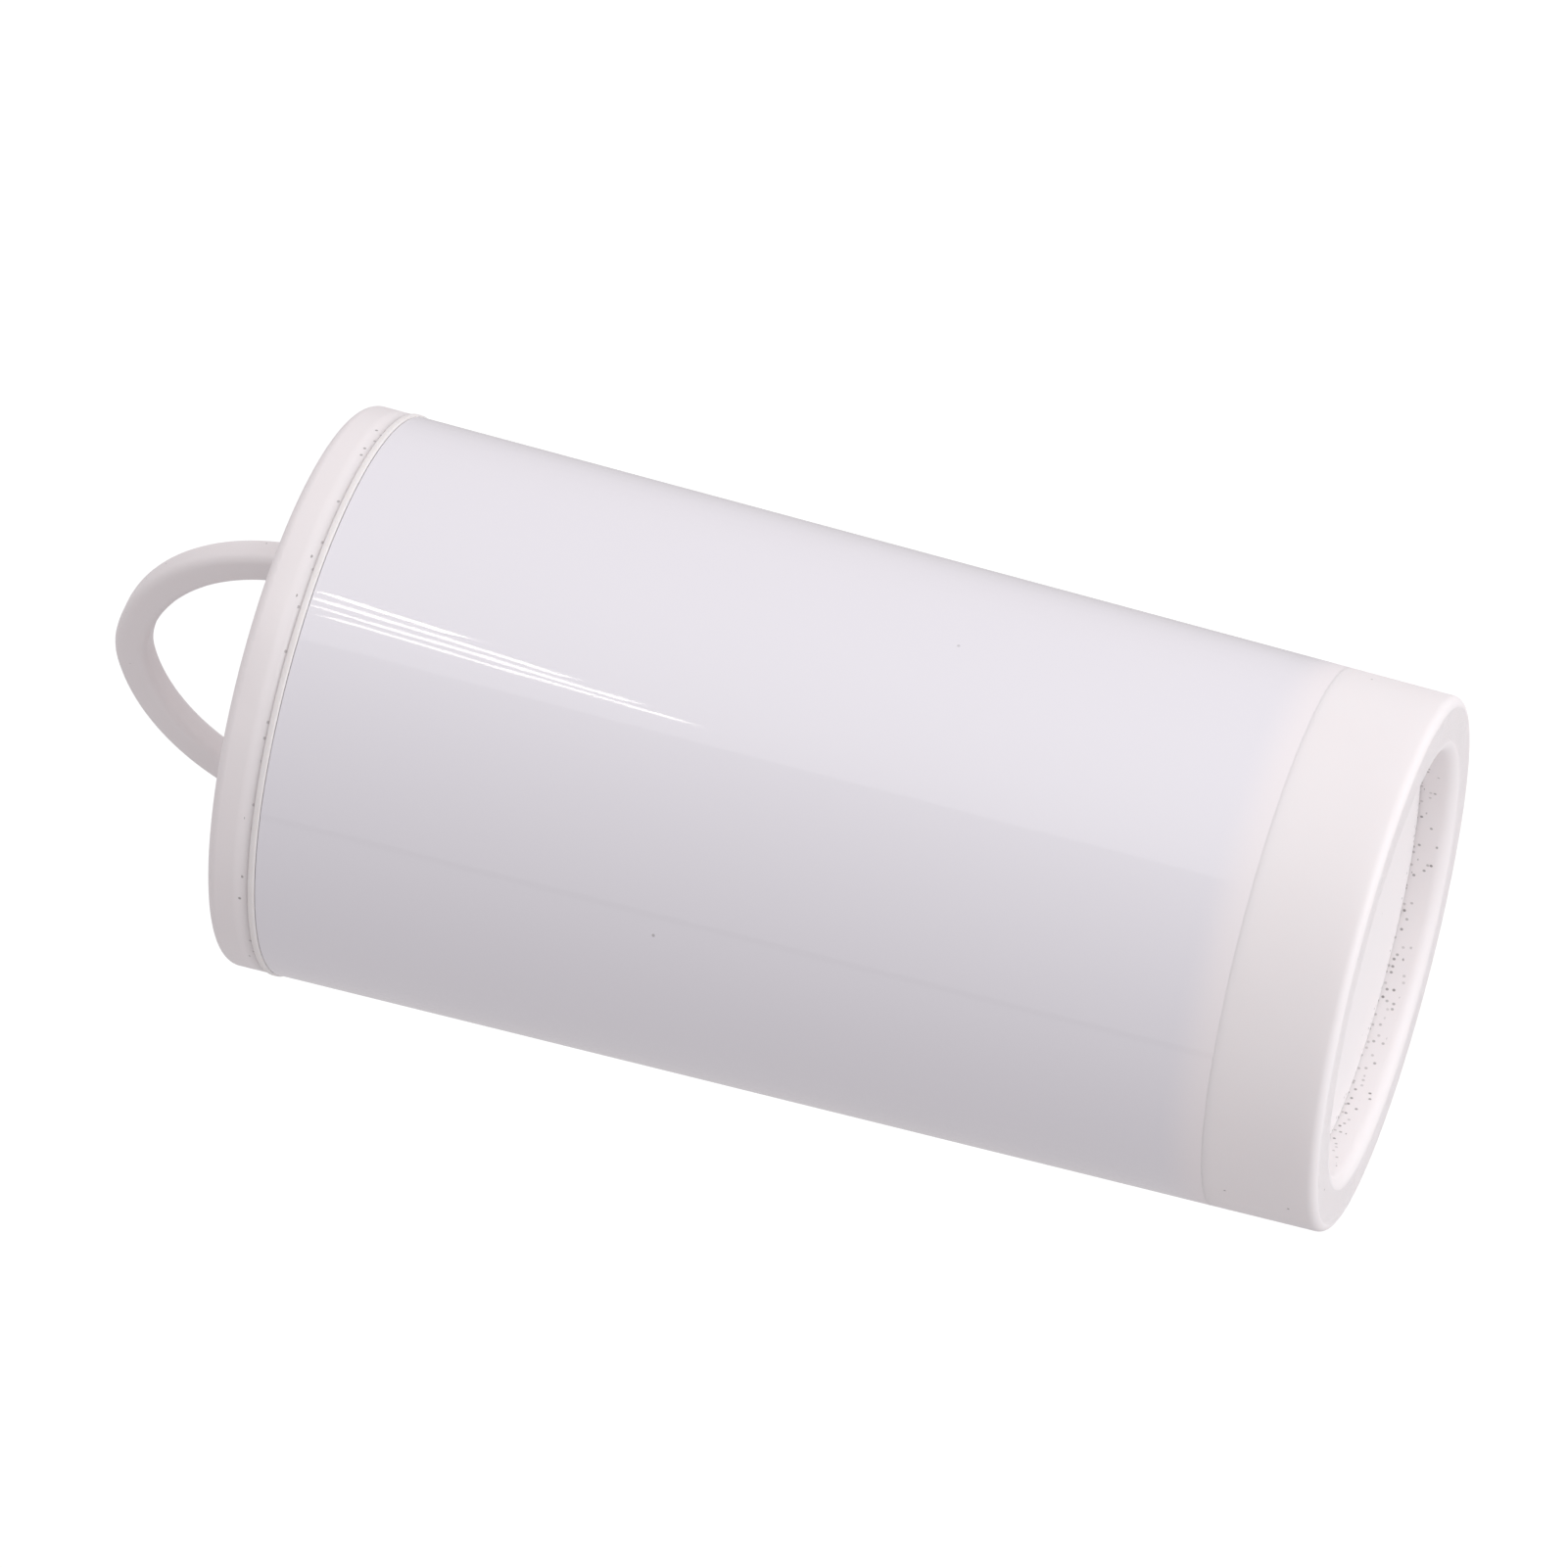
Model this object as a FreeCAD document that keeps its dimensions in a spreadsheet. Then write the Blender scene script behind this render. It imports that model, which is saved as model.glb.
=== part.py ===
"""Training bumper: a small throw-and-float retrieving dummy with a screw cap and a throw loop.

Millimetres, +Z up. The origin is the centre of the base rim's face, the axis of the body is Z,
and the throw loop stands in the XZ plane on the cap. A thick tapered barrel is wrapped in a
film sleeve. A plug and an O-ring close its base a little inside the rim. The cap screws into
the neck on a coarse rib thread and squeezes a flat gasket. A foam core with a steel slug in
its foot fills the barrel, and the cap presses it down through a soft pad.
"""
import FreeCAD, Part
import math
import os
import re

import Sketcher

# Every driving size: its name in the sheet, its value and what it measures.
SIZES = [
    ("body_length", 98.3, "base rim to cap face"),
    ("cap_radius", 25.0, "outside radius at the cap face"),
    ("base_radius", 23.5, "outside radius at the base rim"),
    ("rim_wall", 4.9, "base rim, from the recess to the outside"),
    ("plug_ledge", 1.2, "width of the ledge that the plug's flange seats on"),
    ("recess_depth", 3.1, "base rim to plug face"),
    ("rim_outer_round", 0.8, "outer edge of the base rim"),
    ("rim_inner_round", 1.1, "inner edge of the base rim"),
    ("plug_flange", 2.6, "thickness of the plug's flange"),
    ("plug_spigot", 5.0, "height of the plug's ring above its seat"),
    ("plug_wall", 4.3, "wall of the plug's ring"),
    ("plug_boss_radius", 8.5, "stand for the slug"),
    ("plug_boss_height", 2.5, "height of the stand"),
    ("plug_gap", 0.08, "radial fit of the plug in the barrel"),
    ("seal_cord", 1.5, "thickness of the O-ring"),
    ("seal_gap", 0.04, "room round the O-ring"),
    ("seal_rise", 2.3, "plug seat to the O-ring's centre"),
    ("film_start", 10.0, "base rim to the film's lower edge"),
    ("film_thickness", 0.25, "film sleeve"),
    ("film_bond", 0.03, "adhesive between film and barrel"),
    ("film_top_gap", 0.35, "bare groove between the film and the gasket"),
    ("neck_wall", 3.7, "wall of the threaded mouth, measured from the cap's radius"),
    ("neck_depth", 13.4, "depth of the threaded mouth"),
    ("thread_room", 2.0, "neck to spigot, where the thread ribs run"),
    ("spigot_wall", 1.7, "wall of the cap's spigot"),
    ("spigot_length", 12.5, "length of the cap's spigot"),
    ("thread_pitch", 4.0, "lead of the thread"),
    ("thread_turns", 1.2, "turns of each thread rib"),
    ("thread_start", 5.1, "neck floor to the lower end of the barrel's rib"),
    ("rib_root", 1.4, "height of a thread rib where it joins its wall"),
    ("rib_crest", 0.8, "height of a thread rib at its crest"),
    ("rib_sink", 0.3, "depth of a rib's root inside its wall"),
    ("rib_gap", 0.4, "radial room beyond each rib's crest"),
    ("gasket_thickness", 0.6, "flat gasket, squeezed"),
    ("gasket_proud", 0.12, "how far the gasket stands out of the skin"),
    ("gasket_round", 0.22, "outer edges of the gasket"),
    ("gasket_inset", 0.3, "neck mouth to the gasket's inner edge"),
    ("cap_flange", 3.8, "thickness of the cap's top"),
    ("cap_round", 0.9, "edge of the cap"),
    ("loop_margin", 0.6, "leg of the loop to the wall of the spigot"),
    ("loop_height", 17.1, "cap face to the top of the loop"),
    ("loop_bend", 0.15, "cap face to where the legs begin to curve in, on their inner side"),
    ("loop_side", 18.6, "outside radius of the loop's curved sides"),
    ("loop_apex", 10.0, "outside radius of the loop's top"),
    ("loop_bar", 3.0, "thickness of the loop in its own plane"),
    ("loop_depth", 2.65, "thickness of the loop across its plane"),
    ("loop_round", 0.6, "edges of the loop"),
    ("loop_tail", 3.4, "length of each leg below the cap's top"),
    ("slot_gap", 0.12, "room round each leg in its slot"),
    ("pin_radius", 0.8, "cross pin through a leg"),
    ("pin_length", 9.0, "cross pin"),
    ("pin_gap", 0.05, "room round a cross pin"),
    ("plate_thickness", 2.0, "anchor plate"),
    ("plate_gap", 0.3, "room round the anchor plate and in its notches"),
    ("plate_edge", 0.3, "bevel on the anchor plate's lower edge"),
    ("boss_radius", 2.6, "screw boss under the cap"),
    ("screw_circle", 11.2, "axis to each screw"),
    ("screw_radius", 1.15, "shank of a screw"),
    ("screw_bite", 2.4, "thread of a screw above the boss"),
    ("screw_gap", 0.1, "room round a screw's shank"),
    ("head_radius", 2.2, "head of a screw"),
    ("head_height", 1.3, "head of a screw"),
    ("drive_width", 0.6, "cross slot in a screw's head"),
    ("drive_depth", 0.7, "cross slot in a screw's head"),
    ("core_gap", 0.4, "foam core to the barrel's bore"),
    ("pad_thickness", 4.0, "soft pad on the foam core"),
    ("pad_gap", 0.4, "pad to the screw heads"),
    ("slug_radius", 7.5, "steel slug"),
    ("slug_length", 24.0, "steel slug"),
    ("slug_edge", 0.6, "bevel on the slug"),
    ("pocket_gap", 0.3, "room round the slug in the core"),
]
SIZE = {name: value for name, value, note in SIZES}

# Radii and heights worked out from the sizes, as expressions.
RECESS_RADIUS = "(base_radius - rim_wall)"
BORE_RADIUS = f"({RECESS_RADIUS} - plug_ledge)"
NECK_RADIUS = "(cap_radius - neck_wall)"
SPIGOT_RADIUS = f"({NECK_RADIUS} - thread_room)"
SPIGOT_BORE = f"({SPIGOT_RADIUS} - spigot_wall)"
LOOP_REACH = f"({SPIGOT_BORE} - loop_margin)"
GROOVE_RADIUS = f"({BORE_RADIUS} - seal_cord - 2 * seal_gap)"
CORE_RADIUS = f"(min({BORE_RADIUS}; {SPIGOT_BORE}) - core_gap)"
SEAM = "(body_length - cap_flange)"
NECK_TOP = f"({SEAM} - gasket_thickness)"
NECK_FLOOR = f"({NECK_TOP} - neck_depth)"
SPIGOT_END = f"({SEAM} - spigot_length)"
FILM_TOP = f"({NECK_TOP} - film_top_gap)"
PLUG_SEAT = "(recess_depth + plug_flange)"
PLUG_TOP = f"({PLUG_SEAT} + plug_spigot)"
SLUG_FOOT = f"({PLUG_SEAT} + plug_boss_height)"
SLUG_TOP = f"({SLUG_FOOT} + slug_length)"
SEAL_HEIGHT = f"({PLUG_SEAT} + seal_rise)"
BOSS_FOOT = f"({SEAM} - 2 * pin_radius - 2 * pin_gap)"
PIN_HEIGHT = f"({SEAM} - pin_radius - pin_gap)"
PLATE_FOOT = f"({BOSS_FOOT} - plate_thickness)"
HEAD_FOOT = f"({PLATE_FOOT} - head_height)"
PAD_TOP = f"({HEAD_FOOT} - pad_gap)"
CORE_TOP = f"({PAD_TOP} - pad_thickness)"
LEG_CENTRE = f"({LOOP_REACH} - loop_bar / 2)"
LEG_INSIDE = f"({LOOP_REACH} - loop_bar)"
SCREW_OFFSET = "(screw_circle * sqrt(0.5))"


def skin(height):
    """Outside radius of the tapered body at a height above the base rim."""
    return f"(base_radius + (cap_radius - base_radius) * {height} / body_length)"


def panel(height):
    """Radius of the barrel where the film covers it."""
    return f"({skin(height)} - film_thickness - film_bond)"


def bind(text):
    """Put the sheet's name before each size named in an expression."""
    return re.sub(r"\b([a-z]+(?:_[a-z]+)+)\b", r"Sizes.\1", text)


doc = FreeCAD.newDocument("training_bumper")
sheet = doc.addObject("Spreadsheet::Sheet", "Sizes")
for row, (name, value, note) in enumerate(SIZES, start=1):
    sheet.set(f"A{row}", note)
    sheet.set(f"B{row}", str(value))
    sheet.setAlias(f"B{row}", name)
doc.recompute()


# --- sketches and features -------------------------------------------------------------------

def new_body(name):
    body = doc.addObject("PartDesign::Body", name)
    body.Label = name
    return body


def origin_item(body, role):
    return next(item for item in body.Origin.OriginFeatures if item.Role == role)


def new_sketch(body, name, role, height=None):
    """Sketch on one of the body's own origin planes, lifted to a height if one is given."""
    sketch = body.newObject("Sketcher::SketchObject", name)
    sketch.AttachmentSupport = [(origin_item(body, role), "")]
    sketch.MapMode = "FlatFace"
    if height:
        sketch.setExpression("AttachmentOffset.Base.z", bind(height))
    return sketch


def fix_distance(sketch, kind, geometry, end, expression):
    """Tie one coordinate of a point to an expression, or to an axis where it is 0."""
    if expression == "0":
        axis = -2 if kind == "DistanceX" else -1
        sketch.addConstraint(Sketcher.Constraint("PointOnObject", geometry, end, axis))
        return
    index = sketch.addConstraint(Sketcher.Constraint(kind, -1, 1, geometry, end, 1.0))
    sketch.setExpression(f"Constraints[{index}]", bind(expression))


def fix_point(sketch, geometry, end, across, up):
    fix_distance(sketch, "DistanceX", geometry, end, across)
    fix_distance(sketch, "DistanceY", geometry, end, up)


def outline(sketch, corners):
    """Closed run of straight lines through corners given as (across, up) expressions."""
    count = len(corners)
    ring = [FreeCAD.Vector(20 + math.cos(math.tau * k / count), 20 + math.sin(math.tau * k / count), 0)
            for k in range(count)]
    for k in range(count):
        sketch.addGeometry(Part.LineSegment(ring[k], ring[(k + 1) % count]), False)
    for k in range(count):
        sketch.addConstraint(Sketcher.Constraint("Coincident", k, 2, (k + 1) % count, 1))
    for k, (across, up) in enumerate(corners):
        fix_point(sketch, k, 1, across, up)


def circle(sketch, across, up, radius):
    """Circle about a point, with its radius as an expression."""
    index = sketch.addGeometry(Part.Circle(FreeCAD.Vector(5, 5, 0), FreeCAD.Vector(0, 0, 1), 1.0), False)
    fix_point(sketch, index, 3, across, up)
    tie = sketch.addConstraint(Sketcher.Constraint("Radius", index, 1.0))
    sketch.setExpression(f"Constraints[{tie}]", bind(radius))


def turned(body, corners):
    """Solid turned about Z from a closed outline in the XZ plane."""
    sketch = new_sketch(body, f"{body.Name}_section", "XZ_Plane")
    outline(sketch, corners)
    feature = body.newObject("PartDesign::Revolution", f"{body.Name}_turned")
    feature.Profile = sketch
    feature.ReferenceAxis = (sketch, ["V_Axis"])
    feature.Angle = 360
    doc.recompute()
    return feature


def pad(body, sketch, length, down=False, middle=False):
    feature = body.newObject("PartDesign::Pad", f"{sketch.Name}_pad")
    feature.Profile = sketch
    feature.Reversed = down
    feature.Midplane = middle
    feature.setExpression("Length", bind(length))
    doc.recompute()
    return feature


def pocket(body, sketch, length, up=False, middle=False):
    """Cut along the sketch's normal, and insist that something was cut."""
    before = body.Shape.Volume
    feature = body.newObject("PartDesign::Pocket", f"{sketch.Name}_cut")
    feature.Profile = sketch
    feature.Reversed = up
    feature.Midplane = middle
    feature.setExpression("Length", bind(length))
    doc.recompute()
    assert feature.Shape.Volume < before - 0.01, f"{feature.Name} cuts nothing"
    return feature


def ring_pattern(body, features, count):
    """Repeat features evenly about Z."""
    pattern = body.newObject("PartDesign::PolarPattern", f"{features[0].Name}_ring")
    pattern.Originals = features
    pattern.Axis = (origin_item(body, "Z_Axis"), [""])
    pattern.Angle = 360
    pattern.Occurrences = count
    body.Tip = pattern
    doc.recompute()
    return pattern


def thread_rib(body, wall, crest, centre):
    """Helical rib from its wall to its crest, starting at a height above the base rim."""
    sketch = new_sketch(body, f"{body.Name}_rib", "XZ_Plane")
    outline(sketch, [(wall, f"{centre} - rib_root / 2"), (crest, f"{centre} - rib_crest / 2"),
                     (crest, f"{centre} + rib_crest / 2"), (wall, f"{centre} + rib_root / 2")])
    rib = body.newObject("PartDesign::AdditiveHelix", f"{body.Name}_thread")
    rib.Profile = sketch
    rib.ReferenceAxis = (sketch, ["V_Axis"])
    rib.Mode = "pitch-turns-angle"
    rib.LeftHanded = False
    rib.Reversed = False
    rib.setExpression("Pitch", bind("thread_pitch"))
    rib.setExpression("Turns", bind("thread_turns"))
    doc.recompute()
    return rib


def edges_where(feature, wanted):
    """Names of a feature's edges whose bounding box passes a test."""
    return [f"Edge{k}" for k, edge in enumerate(feature.Shape.Edges, start=1) if wanted(edge.BoundBox)]


def circles_at(feature, height):
    """Names of the circles about Z at a height, from the smallest to the largest."""
    found = []
    for k, edge in enumerate(feature.Shape.Edges, start=1):
        box = edge.BoundBox
        if abs(box.ZMin - height) < 0.01 and abs(box.ZMax - height) < 0.01:
            found.append((box.XMax, f"Edge{k}"))
    return [name for reach, name in sorted(found)]


def softened(body, kind, feature, names, size):
    """Fillet or chamfer on named edges of the feature."""
    assert names, f"{feature.Name} has no such edge"
    edge = body.newObject(f"PartDesign::{kind}", f"{feature.Name}_{kind}")
    edge.Base = (feature, names)
    edge.setExpression("Radius" if kind == "Fillet" else "Size", bind(size))
    doc.recompute()
    return edge


def placed(kind, name, sizes, across="0", along="0", up="0"):
    """Part primitive whose sizes and position follow the sheet."""
    item = doc.addObject(f"Part::{kind}", name)
    for field, expression in sizes.items():
        item.setExpression(field, bind(expression))
    for axis, expression in zip("xyz", (across, along, up)):
        item.setExpression(f"Placement.Base.{axis}", bind(expression))
    return item


# --- barrel, its film and its base -----------------------------------------------------------

def make_barrel():
    """Thick tapered tube: plug seat at the base, film panel outside, threaded neck at the top."""
    body = new_body("barrel")
    tube = turned(body, [
        (RECESS_RADIUS, "0"), ("base_radius", "0"),
        (skin("film_start"), "film_start"), (panel("film_start"), "film_start"),
        (panel(NECK_TOP), NECK_TOP), (NECK_RADIUS, NECK_TOP),
        (NECK_RADIUS, NECK_FLOOR), (BORE_RADIUS, NECK_FLOOR),
        (BORE_RADIUS, PLUG_SEAT), (RECESS_RADIUS, PLUG_SEAT)])
    outer = softened(body, "Fillet", tube, circles_at(tube, 0)[-1:], "rim_outer_round")
    softened(body, "Fillet", outer, circles_at(outer, 0)[:1], "rim_inner_round")
    thread_rib(body, f"{NECK_RADIUS} + rib_sink", f"{SPIGOT_RADIUS} + rib_gap",
               f"({NECK_FLOOR} + thread_start)")
    return body


def make_film_sleeve():
    """Shrunk film in its panel, flush with the bare barrel below it."""
    body = new_body("film_sleeve")
    turned(body, [
        (f"{skin('film_start')} - film_thickness", "film_start + film_bond"),
        (skin("film_start"), "film_start + film_bond"),
        (skin(FILM_TOP), FILM_TOP), (f"{skin(FILM_TOP)} - film_thickness", FILM_TOP)])
    return body


def make_base_plug():
    """Flanged plug: floor of the recess, O-ring groove and a stand for the slug."""
    body = new_body("base_plug")
    groove_half = "(seal_cord / 2 + seal_gap)"
    ring_radius = f"{BORE_RADIUS} - plug_gap"
    turned(body, [
        ("0", "recess_depth"), (f"{RECESS_RADIUS} - plug_gap", "recess_depth"),
        (f"{RECESS_RADIUS} - plug_gap", PLUG_SEAT), (ring_radius, PLUG_SEAT),
        (ring_radius, f"{SEAL_HEIGHT} - {groove_half}"),
        (GROOVE_RADIUS, f"{SEAL_HEIGHT} - {groove_half}"),
        (GROOVE_RADIUS, f"{SEAL_HEIGHT} + {groove_half}"),
        (ring_radius, f"{SEAL_HEIGHT} + {groove_half}"),
        (ring_radius, PLUG_TOP), (f"{BORE_RADIUS} - plug_wall", PLUG_TOP),
        (f"{BORE_RADIUS} - plug_wall", PLUG_SEAT), ("plug_boss_radius", PLUG_SEAT),
        ("plug_boss_radius", SLUG_FOOT), ("0", SLUG_FOOT)])
    return body


def make_base_seal():
    """O-ring in the plug's groove."""
    return placed("Torus", "base_seal", {"Radius1": f"{BORE_RADIUS} - seal_cord / 2 - seal_gap",
                                         "Radius2": "seal_cord / 2"}, up=SEAL_HEIGHT)


# --- what the barrel holds -------------------------------------------------------------------

def make_float_core():
    """Closed-cell foam cylinder with a blind pocket for the slug in its foot."""
    body = new_body("float_core")
    pocket_radius = "slug_radius + pocket_gap"
    pocket_top = f"{SLUG_TOP} + pocket_gap"
    turned(body, [
        (pocket_radius, PLUG_TOP), (CORE_RADIUS, PLUG_TOP), (CORE_RADIUS, CORE_TOP),
        ("0", CORE_TOP), ("0", pocket_top), (pocket_radius, pocket_top)])
    return body


def make_ballast_slug():
    """Steel slug that stands on the plug and keeps the cap up in water."""
    body = new_body("ballast_slug")
    sketch = new_sketch(body, "slug_face", "XY_Plane", SLUG_FOOT)
    circle(sketch, "0", "0", "slug_radius")
    rod = pad(body, sketch, "slug_length")
    span = rod.Shape.BoundBox
    softened(body, "Chamfer", rod, circles_at(rod, span.ZMin) + circles_at(rod, span.ZMax), "slug_edge")
    return body


def make_core_pad():
    """Soft disc between the foam core and the cap's screws."""
    return placed("Cylinder", "core_pad", {"Radius": CORE_RADIUS, "Height": "pad_thickness"}, up=CORE_TOP)


# --- cap, gasket and loop --------------------------------------------------------------------

def make_cap_gasket():
    """Flat ring squeezed between the neck and the cap, a little proud of the skin."""
    body = new_body("cap_gasket")
    outside = f"{skin(SEAM)} + gasket_proud"
    ring = turned(body, [
        (f"{NECK_RADIUS} + gasket_inset", NECK_TOP), (outside, NECK_TOP),
        (outside, SEAM), (f"{NECK_RADIUS} + gasket_inset", SEAM)])
    seam = SIZE["body_length"] - SIZE["cap_flange"]
    rims = circles_at(ring, seam - SIZE["gasket_thickness"])[-1:] + circles_at(ring, seam)[-1:]
    softened(body, "Fillet", ring, rims, "gasket_round")
    return body


def make_screw_cap():
    """Cap with a threaded spigot, two slots for the loop's legs and four screw bosses."""
    body = new_body("screw_cap")
    top = turned(body, [
        ("0", SEAM), (SPIGOT_BORE, SEAM), (SPIGOT_BORE, SPIGOT_END), (SPIGOT_RADIUS, SPIGOT_END),
        (SPIGOT_RADIUS, SEAM), (skin(SEAM), SEAM), ("cap_radius", "body_length"),
        ("0", "body_length")])
    softened(body, "Fillet", top, circles_at(top, SIZE["body_length"])[-1:], "cap_round")
    rib_centre = f"({NECK_FLOOR} + thread_start - thread_pitch / 2)"
    thread_rib(body, f"{SPIGOT_RADIUS} - rib_sink", f"{NECK_RADIUS} - rib_gap", rib_centre)

    legs = new_sketch(body, "leg_slot", "XY_Plane", "body_length")
    outline(legs, [
        (f"{LEG_INSIDE} - slot_gap", "-(loop_depth / 2 + slot_gap)"),
        (f"{LOOP_REACH} + slot_gap", "-(loop_depth / 2 + slot_gap)"),
        (f"{LOOP_REACH} + slot_gap", "loop_depth / 2 + slot_gap"),
        (f"{LEG_INSIDE} - slot_gap", "loop_depth / 2 + slot_gap")])
    ring_pattern(body, [pocket(body, legs, "cap_flange + slot_gap")], 2)

    boss = new_sketch(body, "screw_boss", "XY_Plane", SEAM)
    circle(boss, SCREW_OFFSET, SCREW_OFFSET, "boss_radius")
    boss_pad = pad(body, boss, f"{SEAM} - {BOSS_FOOT}", down=True)
    pilot = new_sketch(body, "pilot_hole", "XY_Plane", BOSS_FOOT)
    circle(pilot, SCREW_OFFSET, SCREW_OFFSET, "screw_radius + screw_gap / 2")
    pilot_cut = pocket(body, pilot, f"{SEAM} - {BOSS_FOOT} + screw_bite + screw_gap", up=True)
    ring_pattern(body, [boss_pad, pilot_cut], 4)
    return body


def loop_centres():
    """Inner foot of one side of the loop, and the centres of its side arc and its apex arc.

    The two arcs touch, so their centres are as far apart as their radii differ, and the side
    arc's centre is its inner radius away from the foot. Of the two such points it is the one
    further from the foot's side.
    """
    half = (SIZE["cap_radius"] - SIZE["neck_wall"] - SIZE["thread_room"]
            - SIZE["spigot_wall"] - SIZE["loop_margin"])
    foot = FreeCAD.Vector(half - SIZE["loop_bar"], SIZE["body_length"] + SIZE["loop_bend"], 0)
    apex = FreeCAD.Vector(0, SIZE["body_length"] + SIZE["loop_height"] - SIZE["loop_apex"], 0)
    to_apex = SIZE["loop_side"] - SIZE["loop_apex"]
    to_foot = SIZE["loop_side"] - SIZE["loop_bar"]
    between = foot - apex
    span = between.Length
    along = (to_apex ** 2 - to_foot ** 2 + span ** 2) / (2 * span)
    aside = math.sqrt(to_apex ** 2 - along ** 2)
    way = between / span
    side = apex + way * along + FreeCAD.Vector(way.y, -way.x, 0) * aside
    return foot, side, apex


def mirrored(point):
    return FreeCAD.Vector(-point.x, point.y, 0)


def make_throw_loop():
    """Flat bar bent to an arch: two legs that curve in and meet in a tighter round apex."""
    body = new_body("throw_loop")
    sketch = new_sketch(body, "arch", "XZ_Plane")
    tail = SIZE["body_length"] - SIZE["cap_flange"] - SIZE["loop_tail"]
    inner_foot, side_centre, apex_centre = loop_centres()
    upward = FreeCAD.Vector(0, 0, 1)

    def add(item):
        return sketch.addGeometry(item, False)

    def tie(*what):
        return sketch.addConstraint(Sketcher.Constraint(*what))

    def tie_value(text, *what):
        index = tie(*what)
        sketch.setExpression(f"Constraints[{index}]", bind(text))

    def arch_line(offset, offset_text):
        """Tail, side arc, apex arc, side arc and tail, joined, this far in from the outside."""
        side_radius = SIZE["loop_side"] - offset
        apex_radius = SIZE["loop_apex"] - offset
        across = inner_foot.x + SIZE["loop_bar"] - offset
        start = math.asin((inner_foot.y - side_centre.y) / (SIZE["loop_side"] - SIZE["loop_bar"]))
        if offset == 0:
            start = math.acos((across - side_centre.x) / side_radius)
        meet = math.atan2(apex_centre.y - side_centre.y, apex_centre.x - side_centre.x)
        foot = FreeCAD.Vector(across, side_centre.y + side_radius * math.sin(start), 0)
        end = FreeCAD.Vector(across, tail, 0)
        right = Part.Circle(side_centre, upward, side_radius)
        middle = Part.Circle(apex_centre, upward, apex_radius)
        left = Part.Circle(mirrored(side_centre), upward, side_radius)
        tail_right = add(Part.LineSegment(end, foot))
        side_right = add(Part.ArcOfCircle(right, start, meet))
        apex = add(Part.ArcOfCircle(middle, meet, math.pi - meet))
        side_left = add(Part.ArcOfCircle(left, math.pi - meet, math.pi - start))
        tail_left = add(Part.LineSegment(mirrored(foot), mirrored(end)))
        tie("Vertical", tail_right)
        tie("Coincident", tail_right, 2, side_right, 1)
        tie("Tangent", side_right, 2, apex, 1)
        tie("Coincident", apex, 2, side_left, 1)
        tie("Coincident", side_left, 2, tail_left, 1)
        tie("Symmetric", side_right, 2, side_left, 1, -2)
        tie("Symmetric", tail_right, 2, tail_left, 1, -2)
        tie("Symmetric", tail_right, 1, tail_left, 2, -2)
        tie("Equal", side_right, side_left)
        tie_value(f"{LOOP_REACH} - {offset_text}", "DistanceX", -1, 1, tail_right, 1, across)
        tie_value(f"{SEAM} - loop_tail", "DistanceY", -1, 1, tail_right, 1, tail)
        tie_value("body_length + loop_height - loop_apex", "DistanceY", -1, 1, apex, 3, apex_centre.y)
        tie_value(f"loop_side - {offset_text}", "Radius", side_right, side_radius)
        return tail_right, side_right, apex, tail_left

    inner = arch_line(SIZE["loop_bar"], "loop_bar")
    tie_value("body_length + loop_bend", "DistanceY", -1, 1, inner[0], 2, inner_foot.y)
    tie_value("loop_apex - loop_bar", "Radius", inner[2], SIZE["loop_apex"] - SIZE["loop_bar"])
    outer = arch_line(0, "0")
    tie("Coincident", inner[1], 3, outer[1], 3)
    for edge_out, edge_in, end in ((outer[0], inner[0], 1), (outer[3], inner[3], 2)):
        close = add(Part.LineSegment(sketch.getPoint(edge_out, end), sketch.getPoint(edge_in, end)))
        tie("Coincident", close, 1, edge_out, end)
        tie("Coincident", close, 2, edge_in, end)
    doc.recompute()
    arch = pad(body, sketch, "loop_depth", middle=True)
    edges = edges_where(arch, lambda box: box.YLength < 0.01 and box.ZLength > 0.5)
    softened(body, "Fillet", arch, edges, "loop_round")

    holes = new_sketch(body, "pin_hole", "XZ_Plane")
    circle(holes, LEG_CENTRE, PIN_HEIGHT, "pin_radius + pin_gap")
    ring_pattern(body, [pocket(body, holes, "2 * loop_depth", middle=True)], 2)
    return body


def make_loop_pins():
    """Cross pins that hold the legs up under the cap's top, one through each leg."""
    pins = []
    for number, sign in enumerate(("", "-"), start=1):
        pin = placed("Cylinder", f"pin_{number}", {"Radius": "pin_radius", "Height": "pin_length"},
                     f"{sign}{LEG_CENTRE}", "pin_length / 2", PIN_HEIGHT)
        pin.setExpression("Placement.Rotation.Angle", "90")
        pin.setExpression("Placement.Rotation.Axis.x", "1")
        pin.setExpression("Placement.Rotation.Axis.z", "0")
        pins.append(pin)
    group = doc.addObject("Part::Compound", "loop_pins")
    group.Links = pins
    return group


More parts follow.
